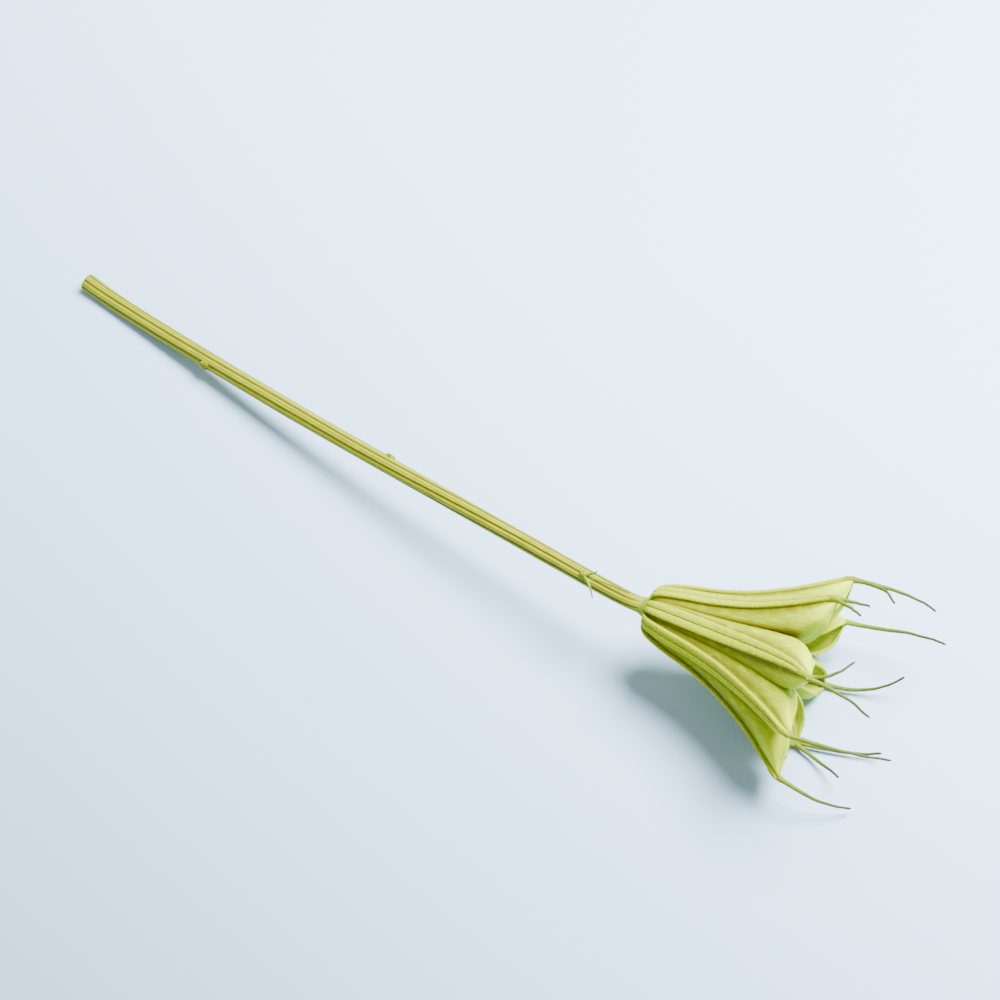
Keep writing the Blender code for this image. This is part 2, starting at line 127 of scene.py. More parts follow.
# Where the skin's markings begin and end: on the band, in half bands from its middle, and elsewhere as shares
# of the way to the lip or places from root to tip
BAND_EDGE = (0.72, 0.98)
# The middle line and the foot lines are painted shade, in the band's middle groove and where it steps down to
# the flanks
MIDDLE_LINE = (0.02, 0.12)
MIDDLE_STRENGTH = 0.75
FOOT_LINE_BEGINS = (0.80, 0.96)
FOOT_LINE_ENDS = (1.0, 1.16)
LIP_BEGINS = (0.78, 1.0)
LIP_RUN = (5.0, 7.0)

# The threads at each pouch's tip. How they lean out, lean aside, curl and hook are shares of their length.
Thread = namedtuple("Thread", "length lean sideways curl hook")
THREADS = (
    (Thread(10.5 * MM, 0.10, 0.05, 0.10, 0.05), Thread(5.5 * MM, 0.20, -0.15, -0.45, -0.25)),
    (Thread(15.5 * MM, 0.08, -0.05, -0.12, 0.16),),
    (Thread(12.0 * MM, 0.25, 0.10, 0.25, 0.10),),
    (Thread(9.0 * MM, 0.05, -0.25, -0.20, -0.10), Thread(13.0 * MM, 0.02, 0.12, 0.15, -0.12)),
    (Thread(11.5 * MM, 0.04, 0.08, 0.30, 0.12),),
    (Thread(16.5 * MM, 0.16, 0.05, 0.28, -0.10),),
    (Thread(8.0 * MM, 0.15, 0.16, 0.10, 0.20), Thread(13.5 * MM, 0.22, -0.18, -0.20, 0.05)),
    (Thread(4.5 * MM, 0.06, 0.16, 0.08, 0.0), Thread(5.0 * MM, 0.12, -0.12, -0.10, 0.0)),
)
THREAD_BEND = 0.12  # towards the pod's axis
THREAD_SPREAD = 1.2 * MM
THREAD_ROOT = 0.46 * MM  # radius
THREAD_WAIST = 0.34 * MM
THREAD_TIP = 0.19 * MM
WAIST_RANGE = (0.08, 0.34)  # shares of the length over which the radius changes
TIP_RANGE = (0.28, 0.97)
POINT_RANGE = (0.975, 1.0)
POINT_SHRINK = 0.75
ROOT_RANGE = (0.05, 0.30)
ROOT_NARROWER = 0.10
ROOT_THICKER = 0.35
THREAD_STEPS = 6
THREAD_SIDES = 14
THREAD_CUTS = 64
THREAD_KINK = 0.22 * MM
KINK_RANGE = (0.25, 0.9)
THREAD_UNEVEN = 0.10  # of the radius
FLOOR_EASE = 0.4 * MM
FLOOR_GAP = 0.35 * MM
SOLID_THREAD = 0.50 * MM  # radius of the solid that the threads dress, at its root

# The collar between stem and pod
COLLAR_LENGTH = 1.1 * MM
COLLAR_RADIUS = 1.62 * MM
COLLAR_SCARS = 13
COLLAR_SIDES = 104
COLLAR_CUTS = 40
COLLAR_OVER_STEM = 0.15 * MM
COLLAR_INSIDE = 1.6 * MM  # up among the pouches
COLLAR_FOOT = 0.83  # width at the stem, as a share of the radius
COLLAR_BULGE = 0.20
COLLAR_WIDENS = 0.05  # from end to end
COLLAR_ROUGHNESS = 0.03
BULGE_RANGE = (0.0, 0.60)
BEAD_DEPTH = 0.045
BEADS_BEGIN = (0.16, 0.30)
BEADS_END = (0.36, 0.50)

# The stem, from its cut end
JOINT_GAP = 0.3 * MM
STEM_ROUTE = tuple(
    Vector(point) * MM + CENTRING
    for point in (
        (-79.0, 3.2, 1.36),
        (-67.0, 2.5, 1.38),
        (-35.0, 0.9, 5.20),
        (-3.0, -0.2, 9.70),
        (26.5, -0.75, 13.10),
    )
)
STEM_CUT_RADIUS = 1.5 * MM
STEM_TOP_RADIUS = 1.3 * MM
STEM_RIBS = 7
STEM_TWIST = math.radians(70)
STEM_WANDER = 0.35  # radians by which the ribs stray from an even twist
GROOVE_DEPTH = 0.17  # share of the radius
GROOVE_SHARPNESS = 0.7
CREST_GROOVE = 0.045  # a finer groove along each rib's crest, as a share of the radius
CREST_RANGE = (0.0, 0.34)
CREST_MARK = 0.75  # how strongly it shows in the colour
STEM_UNEVEN = 0.03
STEM_SIDES = 126
STEM_CUTS = 300
LEAF_SCARS = ((0.30, math.radians(75)), (0.52, math.radians(-60)), (0.77, math.radians(25)))
SCAR_RADIUS = 0.75 * MM
SCAR_RISE = 0.45 * MM
SCAR_ROOT = 0.25 * MM  # how deep the cushion sits in the stem
SCAR_STRETCH = 1.45  # towards the cut end
SCAR_RAGGED = 0.14
SCAR_DENT = 0.38  # share of the cushion's height
DENT_RANGE = (0.15, 0.55)

# The steps of the stem's cut: each step's width, as a share of the last one's, and its depth
CUT_STEPS = ((0.93, 0.0), (0.88, 0.10 * MM), (0.62, 0.08 * MM), (0.45, 0.35 * MM))

# What is left of the leaf: a stalk and, with its length, lean to the side, rise and curl, each hair
STALK_LENGTH = 2.2 * MM
STALK_SOCKET = 0.2 * MM  # how deep the stalk sits in its scar
STALK_ROOT = 0.52 * MM  # radius
STALK_TIP = 0.28 * MM
KNEE_RISE = 0.4  # of the stalk's length, where it bends towards the pod
TOP_RISE = 0.65
TOP_REACH = 0.6
HAIRS = ((8.0 * MM, 0.20, 0.30, -0.38), (5.0 * MM, -0.45, 0.45, 0.25), (3.2 * MM, 0.55, 0.75, 0.10))
HAIR_ROOT = 0.29 * MM
HAIR_TIP = 0.10 * MM
HAIR_POINT_RANGE = (0.97, 1.0)
HAIR_POINT_SHRINK = 0.7
HAIR_SIDES = 12
STALK_CUTS = 12
HAIR_CUTS = 40
HAIR_FLATNESS = (1.0, 0.75)  # width and depth, as shares of the radius

# All rods: shares of the length over which their run is measured, and the bends that are shaded as edges
NEARBY = 0.02
NEAR_ON_STEM = 0.01
SOFT_EDGE = math.radians(50)
STEM_EDGE = math.radians(40)

# Colours, as the linear red, green and blue that a shader takes
FLANK_GREEN = (0.225, 0.29, 0.001)
FLANK_YELLOW = (0.27, 0.34, 0.001)
FLANK_PALE = (0.60, 0.74, 0.012)
FLANK_ROOT = (0.22, 0.23, 0.002)
FLANK_VEIN = (0.19, 0.20, 0.001)
# Painted shade in the creases where a flank lies close to its neighbour
CREASE_SHADE = (0.12, 0.092, 0.001)
BAND_PALE = (0.39, 0.475, 0.002)
BAND_SAND = (0.25, 0.285, 0.001)
BAND_GREEN = (0.32, 0.41, 0.003)
# Painted shade in the band's middle groove and along its foot
LINE_SHADE = (0.085, 0.070, 0.001)
LIP_PALE = (0.45, 0.56, 0.010)
BEAK = (0.36, 0.335, 0.001)
INSIDE_LIGHT = (0.57, 0.66, 0.030)
INSIDE_DEEP = (0.45, 0.53, 0.018)
# Painted shade deep inside the pouches
INSIDE_SHADE = (0.22, 0.235, 0.004)
THREAD_PALE = (0.23, 0.265, 0.001)
THREAD_OLIVE = (0.105, 0.145, 0.002)
THREAD_DARK = (0.040, 0.055, 0.008)
COLLAR_GREEN = (0.21, 0.29, 0.002)
COLLAR_TAN = (0.19, 0.21, 0.003)
RIB_PALE = (0.33, 0.375, 0.002)
RIB_STRAW = (0.235, 0.255, 0.001)
RIB_GREEN = (0.23, 0.29, 0.001)
GROOVE_TAN = (0.10, 0.088, 0.003)
GROOVE_BROWN = (0.045, 0.038, 0.002)
PITH_PALE = (0.50, 0.48, 0.19)
PITH_TAN = (0.32, 0.26, 0.055)
LEAF_GREEN = (0.17, 0.28, 0.003)
LEAF_YELLOW = (0.30, 0.36, 0.003)
HAIR_OLIVE = (0.085, 0.105, 0.006)
WAXY = (1.0, 0.97, 0.55, 1.0)  # tint of the highlights

Pouch = namedtuple("Pouch", "index turn before after flare stretch sway")


def smooth(rows, place):
    """A curve through rows of numbers, read at a place counted in rows."""
    last = len(rows) - 1
    first = min(int(place), last - 1)
    share = place - first
    a, b, c, d = (rows[min(max(first + step, 0), last)] for step in (-1, 0, 1, 2))

    def between(p, q, r, s):
        bend = 2 * p - 5 * q + 4 * r - s
        turn = 3 * q - p - 3 * r + s
        return 0.5 * (2 * q + (r - p) * share + bend * share**2 + turn * share**3)

    return [between(*values) for values in zip(a, b, c, d)]


def fade(value, low, high):
    """0 below low, 1 above high and a soft step between."""
    share = min(max((value - low) / (high - low), 0.0), 1.0)
    return share * share * (3 - 2 * share)


def pod_frame():
    level = math.cos(POD_PITCH)
    axis = Vector((level * math.cos(POD_YAW), level * math.sin(POD_YAW), math.sin(POD_PITCH)))
    side = axis.cross(Vector((0, 0, 1))).normalized()
    turned = Matrix((side.cross(axis), side, axis)).transposed().to_4x4()
    return Matrix.Translation(POD_ROOT) @ turned


POD = pod_frame()


def pouches():
    even = [FIRST_TURN + 2 * math.pi * index / POUCHES for index in range(POUCHES)]
    turns = [turn + math.radians(quirk[0]) for turn, quirk in zip(even, QUIRKS)]
    made = []
    for index, turn in enumerate(turns):
        before = (turn - turns[index - 1]) % (2 * math.pi) / 2
        after = (turns[(index + 1) % POUCHES] - turn) % (2 * math.pi) / 2
        flare, stretch, sway = (value * MM for value in QUIRKS[index][1:])
        made.append(Pouch(index, turn, before, after, flare, stretch, sway))
    return made


def out_and_side(pouch):
    out = Vector((math.cos(pouch.turn), math.sin(pouch.turn), 0))
    side = Vector((-math.sin(pouch.turn), math.cos(pouch.turn), 0))
    return out, side


def on_pouch(pouch, place, along, outwards, sideways):
    """A point of a pouch, in the pod's own frame."""
    out, side = out_and_side(pouch)
    grown = (place / LAST) ** 3
    ahead = Vector((0, 0, along + pouch.stretch * grown))
    return ahead + out * (outwards + pouch.flare * grown) + side * (sideways + pouch.sway * grown)


def activate(piece):
    bpy.ops.object.select_all(action="DESELECT")
    piece.select_set(True)
    bpy.context.view_layer.objects.active = piece


def named(name):
    piece = bpy.context.object
    piece.name = name
    piece.data.name = name
    return piece


def blank_sheet(name, columns, rows):
    """A flat sheet, one unit wide and high, divided into columns and rows."""
    bpy.ops.object.select_all(action="DESELECT")
    bpy.ops.mesh.primitive_grid_add(x_subdivisions=columns, y_subdivisions=rows, size=1)
    return named(name)


def blank_rod(name, sides, cuts):
    """An upright rod, one unit high, with its sides cut across so that it can be bent."""
    bpy.ops.object.select_all(action="DESELECT")
    bpy.ops.mesh.primitive_cylinder_add(vertices=sides, radius=1, depth=1, end_fill_type="NGON")
    rod = named(name)
    bpy.ops.object.mode_set(mode="EDIT")
    bpy.ops.mesh.select_mode(type="EDGE")
    bpy.ops.mesh.select_all(action="DESELECT")
    mesh = bmesh.from_edit_mesh(rod.data)
    for edge in mesh.edges:
        rise = edge.verts[1].co.z - edge.verts[0].co.z
        edge.select_set(abs(rise) > 0.5)
    bmesh.update_edit_mesh(rod.data)
    bpy.ops.mesh.subdivide(number_cuts=cuts)
    bpy.ops.object.mode_set(mode="OBJECT")
    return rod


def set_values(piece, name, values):
    """Keeps a number for each vertex, for the material to read."""
    made = piece.data.attributes.new(name, "FLOAT", "POINT")
    made.data.foreach_set("value", values)


def lay_pattern(piece, places):
    """Makes the sheet's UV map real millimetres, across and along."""
    layer = piece.data.uv_layers.active
    for loop in piece.data.loops:
        layer.data[loop.index].uv = places[loop.vertex_index]


def outline_half(station, depth, share):
    """Depth below the back and distance from the middle of one half of the section, for a share of 0 to 1."""
    if share < BAND_SHARE:
        deep, wide = smooth(BAND_SECTION, share / BAND_SHARE * (len(BAND_SECTION) - 1))
        shrink = min(1.0, depth / BAND_FULL_DEPTH)
        return deep * MM * shrink, wide * station.band
    down = ((share - BAND_SHARE) / (1 - BAND_SHARE)) ** FLANK_CROWDING
    edge = station.lip + PAPER
    bulge = station.swell * math.sin(math.pi * down**BULGE_CROWDING)
    foot = min(BAND_FOOT, depth / 2) * FOOT_SHARE
    last_width = BAND_SECTION[-1][1]
    start = last_width + (BAND_WAIST - last_width) * fade(down, 0, WAIST_SHARE)
    return foot + (depth - foot) * down, start * station.band * (1 - down) + edge * down + bulge


def wrinkle(pouch, place, across, down):
    """How far a flank stands out from its even form."""
    spot = Vector((place * 0.55, across * 1.3, pouch.index * 7.3))
    loose = fade(place, *WRINKLE_RANGE) * math.sin(math.pi * min(down * 1.05, 1.0))
    return loose * (WRINKLE * noise.noise(spot) + FINE_WRINKLE * noise.noise(spot * 3.1))


def pouch_point(pouch, place, across):
    """Where the sheet of a pouch goes, and how near it lies to its neighbour, from 0 to 1, which sets the
    painted shade in its crease.

    Place runs from root to tip, and across from one lip (-1) to the other (1).
    """
    station = Station(*(value * MM for value in smooth(STATIONS, place)))
    back = Vector((station.back_along, station.back_out))
    seam = Vector((station.seam_along, station.seam_out))
    inward = (seam - back).normalized()
    depth = (seam - back).length
    way = 1 if across >= 0 else -1
    deep, wide = outline_half(station, depth, abs(across))
    down = max(0.0, (abs(across) - BAND_SHARE) / (1 - BAND_SHARE))
    open_here = fade(place, *MOUTH_OPENS) * (1 - fade(place, *MOUTH_CLOSES))
    wide += LIP_CURL * open_here * fade(down, *CURL_RANGE)
    wide += wrinkle(pouch, place, across, down)
    back_wave = BACK_WAVE * noise.noise(Vector((place * 0.7, pouch.index * 3.7, 0.0)))
    along, outwards = back + inward * (deep + back_wave * fade(place, *WAVE_RANGE) * (1 - down))
    room = outwards * math.tan(pouch.after if way > 0 else pouch.before) + OVERLAP
    # The share of painted shade where the flank comes close to its neighbour
    snug_shade = fade(wide, room - SNUG_GAP, room) * fade(down, *CREASE_SHADE_RANGE)
    wide = min(wide, max(room, NARROWEST))
    return POD @ on_pouch(pouch, place, along, outwards, way * wide), snug_shade


def markings(place, across, snug_shade):
    """What the pouch's material reads at a place on the sheet, each from 0 to 1."""
    side = abs(across)
    edge = side / BAND_SHARE
    # Painted shade: a dark line in the band's middle groove and along its foot, where it steps down to the
    # flank
    middle_shade = 1 - fade(edge, *MIDDLE_LINE)
    foot_shade = fade(edge, *FOOT_LINE_BEGINS) * (1 - fade(edge, *FOOT_LINE_ENDS))
    return {
        "grown": place / LAST,
        "band": 1 - fade(edge, *BAND_EDGE),
        "line": max(MIDDLE_STRENGTH * middle_shade, foot_shade),
        "lip": fade(side, *LIP_BEGINS) * fade(place, *LIP_RUN),
        # painted shade in the crease beside a neighbour
        "shade_in_crease": snug_shade,
    }


def flat_spot(place, across):
    """Where a place on the sheet lies when it is laid flat, in mm across and along."""
    station = Station(*smooth(STATIONS, place))
    deep = math.hypot(station.seam_along - station.back_along, station.seam_out - station.back_out)
    if abs(across) > BAND_SHARE:
        return across * (station.band + deep), station.back_along
    return across / BAND_SHARE * station.band, station.back_along


def fold_pouch(pouch):
    """One pouch: a sheet folded from lip to lip, thickened inwards."""
    piece = blank_sheet(f"pouch_{pouch.index + 1}", COLUMNS, ROWS)
    marks, spots = [], []
    for vertex in piece.data.vertices:
        across = 2 * vertex.co.x
        place = (vertex.co.y + 0.5) * LAST
        point, snug_shade = pouch_point(pouch, place, across)
        point.z = max(point.z, LOWEST)
        marks.append(markings(place, across, snug_shade))
        spots.append(flat_spot(place, across))
        vertex.co = point
    for name in marks[0]:
        set_values(piece, name, [mark[name] for mark in marks])
    lay_pattern(piece, spots)
    face_outwards(piece, pouch)
    for skin in (POD_SKIN, POD_INSIDE, POD_RIM):
        piece.data.materials.append(skin)
    thicken(piece)
    activate(piece)
    bpy.ops.object.shade_smooth()
    return settle(piece, "seed_pod")


def face_outwards(piece, pouch):
    """Turns the sheet over if its back doesn't face out of the pod."""
    out = POD.to_3x3() @ out_and_side(pouch)[0]
    facing = sum(face.normal.dot(out) * face.area for face in piece.data.polygons)
    if facing < 0:
        activate(piece)
        bpy.ops.object.mode_set(mode="EDIT")
        bpy.ops.mesh.select_all(action="SELECT")
        bpy.ops.mesh.flip_normals()
        bpy.ops.object.mode_set(mode="OBJECT")


def thicken(piece):
    shell = piece.modifiers.new("paper", "SOLIDIFY")
    shell.thickness = PAPER
    shell.offset = -1
    shell.material_offset = 1
    shell.material_offset_rim = 2
    activate(piece)
    bpy.ops.object.modifier_apply(modifier=shell.name)
    for vertex in piece.data.vertices:
        vertex.co.z = max(vertex.co.z, LOWEST)


def settle(piece, node):
    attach(piece, "root")
    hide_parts(node)
    return piece


def above_floor(point, clearance):
    """The point, lifted softly where it would come nearer the floor than the clearance."""
    higher = 0.5 * (point.z + clearance + math.hypot(point.z - clearance, FLOOR_EASE))
    return Vector((point.x, point.y, higher))


def thread_line(pouch, thread):
    """The middle line of a thread, from inside the pouch's beak to its dried end."""
    out, side = out_and_side(pouch)
    near, end = (Station(*(value * MM for value in STATIONS[place])) for place in (LAST - 1, LAST))
    aside = thread.sideways * THREAD_SPREAD
    root = on_pouch(pouch, LAST - 1, near.back_along, near.back_out - SOLID_THREAD, aside)
    tip = on_pouch(pouch, LAST, end.back_along, end.back_out - SOLID_THREAD, aside)
    start = (Vector((0, 0, 1)) + out * thread.lean + side * thread.sideways).normalized()
    bend = side * thread.curl - out * THREAD_BEND
    hook = side * thread.hook - out * abs(thread.hook)
    points = [POD @ root]
    for step in range(THREAD_STEPS + 1):
        run = step / THREAD_STEPS
        local = tip + (start * run + bend * run**2 + hook * run**4) * thread.length
        points.append(above_floor(POD @ local, FLOOR_GAP + SOLID_THREAD))
    return points


def bend_rod(rod, line, across, radius_at, flat_at, seed):
    """Bends an upright rod along a line.

    radius_at gives its radius, and flat_at its width across and its depth as shares of that.
    """
    steps = len(line) - 1
    toward_tip = []
    for vertex in rod.data.vertices:
        share = vertex.co.z + 0.5
        turn = math.atan2(vertex.co.y, vertex.co.x)
        centre = Vector(smooth(line, share * steps))
        ahead = Vector(smooth(line, min(share + NEARBY, 1.0) * steps))
        behind = Vector(smooth(line, max(share - NEARBY, 0.0) * steps))
        run = (ahead - behind).normalized()
        first = (across - run * across.dot(run)).normalized()
        second = run.cross(first)
        kink = THREAD_KINK * fade(share, *KINK_RANGE)
        centre += first * kink * noise.noise(Vector((share * 6, seed, 0.3)))
        centre += second * kink * noise.noise(Vector((share * 6, seed, 9.1)))
        wide, thick = flat_at(share)
        spot = Vector((share * 22, math.cos(turn), math.sin(turn) + seed))
        reach = radius_at(share) * (1 + THREAD_UNEVEN * noise.noise(spot))
        toward_tip.append(share)
        vertex.co = centre + (first * math.cos(turn) * wide + second * math.sin(turn) * thick) * reach
    set_values(rod, "toward_tip", toward_tip)


def thread_radius(share):
    radius = THREAD_ROOT + (THREAD_WAIST - THREAD_ROOT) * fade(share, *WAIST_RANGE)
    radius += (THREAD_TIP - THREAD_WAIST) * fade(share, *TIP_RANGE)
    return radius * (1 - POINT_SHRINK * fade(share, *POINT_RANGE))


def thread_flatness(share):
    """A thread is a little narrower and thicker where it leaves the pouch."""
    root = 1 - fade(share, *ROOT_RANGE)
    return 1 - ROOT_NARROWER * root, 1 + ROOT_THICKER * root


def draw_thread(pouch, thread, number):
    rod = blank_rod(f"thread_{pouch.index + 1}_{number + 1}", THREAD_SIDES, THREAD_CUTS)
    across = POD.to_3x3() @ out_and_side(pouch)[1]
    seed = pouch.index * 2.7 + number
    bend_rod(rod, thread_line(pouch, thread), across, thread_radius, thread_flatness, seed)
    rod.data.materials.append(THREAD_SKIN)
    activate(rod)
    bpy.ops.object.shade_smooth_by_angle(angle=SOFT_EDGE)
    return settle(rod, "seed_pod")


def turn_collar():
    """The ring between stem and pod, with the scars where the flower's own leaves sat."""
    rod = blank_rod("collar", COLLAR_SIDES, COLLAR_CUTS)
    foot = COLLAR_LENGTH + JOINT_GAP + COLLAR_OVER_STEM
    length = foot + COLLAR_INSIDE
    for vertex in rod.data.vertices:
        share = vertex.co.z + 0.5
        turn = math.atan2(vertex.co.y, vertex.co.x)
        height = share * length - foot
        swell = COLLAR_FOOT + COLLAR_BULGE * math.sin(math.pi * fade(share, *BULGE_RANGE))
        swell += COLLAR_WIDENS * share
        ring = fade(share, *BEADS_BEGIN) * (1 - fade(share, *BEADS_END))
        beads = BEAD_DEPTH * abs(math.sin(0.5 * COLLAR_SCARS * turn)) * ring
        spot = Vector((3 * math.cos(turn), 3 * math.sin(turn), 8 * share))
        rough = COLLAR_ROUGHNESS * noise.noise(spot)
        reach = COLLAR_RADIUS * (swell + beads + rough)
        flat = math.hypot(vertex.co.x, vertex.co.y)
        vertex.co = POD @ Vector((reach * flat * math.cos(turn), reach * flat * math.sin(turn), height))
    rod.data.materials.append(COLLAR_SKIN)
    activate(rod)
    bpy.ops.object.shade_smooth_by_angle(angle=SOFT_EDGE)
    return settle(rod, "seed_pod")


def stem_point(share):
    top = POD @ Vector((0, 0, -COLLAR_LENGTH - JOINT_GAP))
    return Vector(smooth((*STEM_ROUTE, top), share * len(STEM_ROUTE)))


def stem_radius(share):
    return STEM_CUT_RADIUS + (STEM_TOP_RADIUS - STEM_CUT_RADIUS) * share


def stem_sides(share):
    """Along the stem, and up and sideways from it."""
    run = (stem_point(min(share + NEAR_ON_STEM, 1)) - stem_point(max(share - NEAR_ON_STEM, 0))).normalized()
    side = run.cross(Vector((0, 0, 1))).normalized()
    return run, side.cross(run), side


def ribbing(share, turn):
    """The stem's width as a share of its radius, and what its colour reads: 1 on a rib, 0 in a groove."""
    wander = STEM_WANDER * noise.noise(Vector((share * 5, 0, 2)))
    half = 0.5 * STEM_RIBS * (turn + STEM_TWIST * share + wander)
    rib = abs(math.cos(half)) ** GROOVE_SHARPNESS
    crest = 1 - fade(abs(math.sin(half)), *CREST_RANGE)
    strength = 0.75 + 0.5 * noise.noise(Vector((share * 3, math.cos(turn), math.sin(turn))))
    width = 1 - GROOVE_DEPTH * strength * (1 - rib) - CREST_GROOVE * crest
    return width, min(rib, 1 - CREST_MARK * crest * strength)


def draw_stem():
    rod = blank_rod("stem_skin", STEM_SIDES, STEM_CUTS)
    ribs, ends = [], []
    for vertex in rod.data.vertices:
        share = vertex.co.z + 0.5
        turn = math.atan2(vertex.co.y, vertex.co.x)
        flat = math.hypot(vertex.co.x, vertex.co.y)
        run, up, side = stem_sides(share)
        width, mark = ribbing(share, turn)
        reach = stem_radius(share) * width * (1 + STEM_UNEVEN * noise.noise(Vector((share * 14, 4, 0))))
        point = stem_point(share) + (up * math.cos(turn) + side * math.sin(turn)) * reach * flat
        point.z = max(point.z, LOWEST)
        ribs.append(mark)
        ends.append(share)
        vertex.co = point
    set_values(rod, "rib", ribs)
    set_values(rod, "along", ends)
    rod.data.materials.append(STEM_SKIN)
    rod.data.materials.append(STEM_CUT)
    hollow_cut_end(rod)
    activate(rod)
    bpy.ops.object.shade_smooth_by_angle(angle=STEM_EDGE)
    return settle(rod, "stem")


def hollow_cut_end(rod):
    """The stem's cut: its rind, a soft step down to the pith, and a small hollow in the middle."""
    bpy.context.view_layer.objects.active = rod
    bpy.ops.object.mode_set(mode="EDIT")
    bpy.ops.mesh.select_mode(type="FACE")
    bpy.ops.mesh.select_all(action="DESELECT")
    mesh = bmesh.from_edit_mesh(rod.data)
    for face in mesh.faces:
        face.select_set(len(face.verts) > 4 and face.calc_center_median().x < 0)
    bmesh.update_edit_mesh(rod.data)
    rod.active_material_index = 1
    bpy.ops.object.material_slot_assign()
    run = stem_sides(0.0)[0]
    centre = stem_point(0.0)
    for size, depth in CUT_STEPS:
        bpy.ops.mesh.extrude_region_move()
        bpy.ops.transform.resize(value=(size, size, size), center_override=centre)
        bpy.ops.transform.translate(value=run * depth)
    bpy.ops.object.mode_set(mode="OBJECT")


def cushion(number, scar):
    """The low cushion that a leaf leaves, with a broken rim and a hollow top."""
    share, turn = scar
    run, up, side = stem_sides(share)
    out = up * math.cos(turn) + side * math.sin(turn)
    foot = stem_point(share) + out * (stem_radius(share) - SCAR_ROOT)
    bpy.ops.object.select_all(action="DESELECT")
    bpy.ops.mesh.primitive_uv_sphere_add(segments=40, ring_count=20, radius=1)
    piece = named(f"leaf_scar_{number + 1}")
    across = out.cross(run)
    tall = SCAR_RISE + SCAR_ROOT
    for vertex in piece.data.vertices:
        x, y, z = vertex.co
        dent = SCAR_DENT * (1 - fade(math.hypot(x, y), *DENT_RANGE)) if z > 0 else 0.0
        ragged = 1 + SCAR_RAGGED * noise.noise(Vector((2.4 * x, 2.4 * y, 2.4 * z + number)))
        stretch = SCAR_STRETCH if x < 0 else 1.0
        local = run * x * stretch * SCAR_RADIUS * ragged + across * y * SCAR_RADIUS * ragged
        vertex.co = foot + local + out * (z - dent) * tall * ragged
    piece.data.materials.append(SCAR_SKIN)
    activate(piece)
    bpy.ops.object.shade_smooth()
    return settle(piece, "stem")


def leaf_remnant():
    """A short stalk that divides into a few dried hairs."""
    share, turn = LEAF_SCARS[-1]
    run, up, side = stem_sides(share)
    out = up * math.cos(turn) + side * math.sin(turn)
    across = out.cross(run)
    foot = stem_point(share) + out * (stem_radius(share) + SCAR_RISE + JOINT_GAP)
    knee = foot + out * (KNEE_RISE * STALK_LENGTH)
    top = foot + (out * TOP_RISE + run * TOP_REACH) * STALK_LENGTH
    socket = foot - out * (JOINT_GAP + STALK_SOCKET)
    lines = [[socket, foot, knee, top]]
    for length, lean, rise, curl in HAIRS:
        ahead = (run + across * lean + out * rise).normalized()
        bend = (out + across * lean) * curl
        start = (knee + top) / 2
        lines.append([start + (ahead * s + bend * s**2) * length for s in (0, 0.25, 0.5, 0.75, 1)])
    for number, line in enumerate(lines):
        draw_leaf_part(number, line, across)


def draw_leaf_part(number, line, across):
    """The stalk, which is number 0, or a hair."""
    if number == 0:
        name, cuts, root, tip = "leaf_stalk", STALK_CUTS, STALK_ROOT, STALK_TIP
    else:
        name, cuts, root, tip = f"leaf_hair_{number}", HAIR_CUTS, HAIR_ROOT, HAIR_TIP
    rod = blank_rod(name, HAIR_SIDES, cuts)

    def radius_at(share):
        return (root + (tip - root) * share) * (1 - HAIR_POINT_SHRINK * fade(share, *HAIR_POINT_RANGE))

    bend_rod(rod, line, across, radius_at, lambda share: HAIR_FLATNESS, 31.3 + number)
    rod.data.materials.append(LEAF_SKIN)
    activate(rod)
    bpy.ops.object.shade_smooth_by_angle(angle=SOFT_EDGE)
    settle(rod, "leaf_remnant")


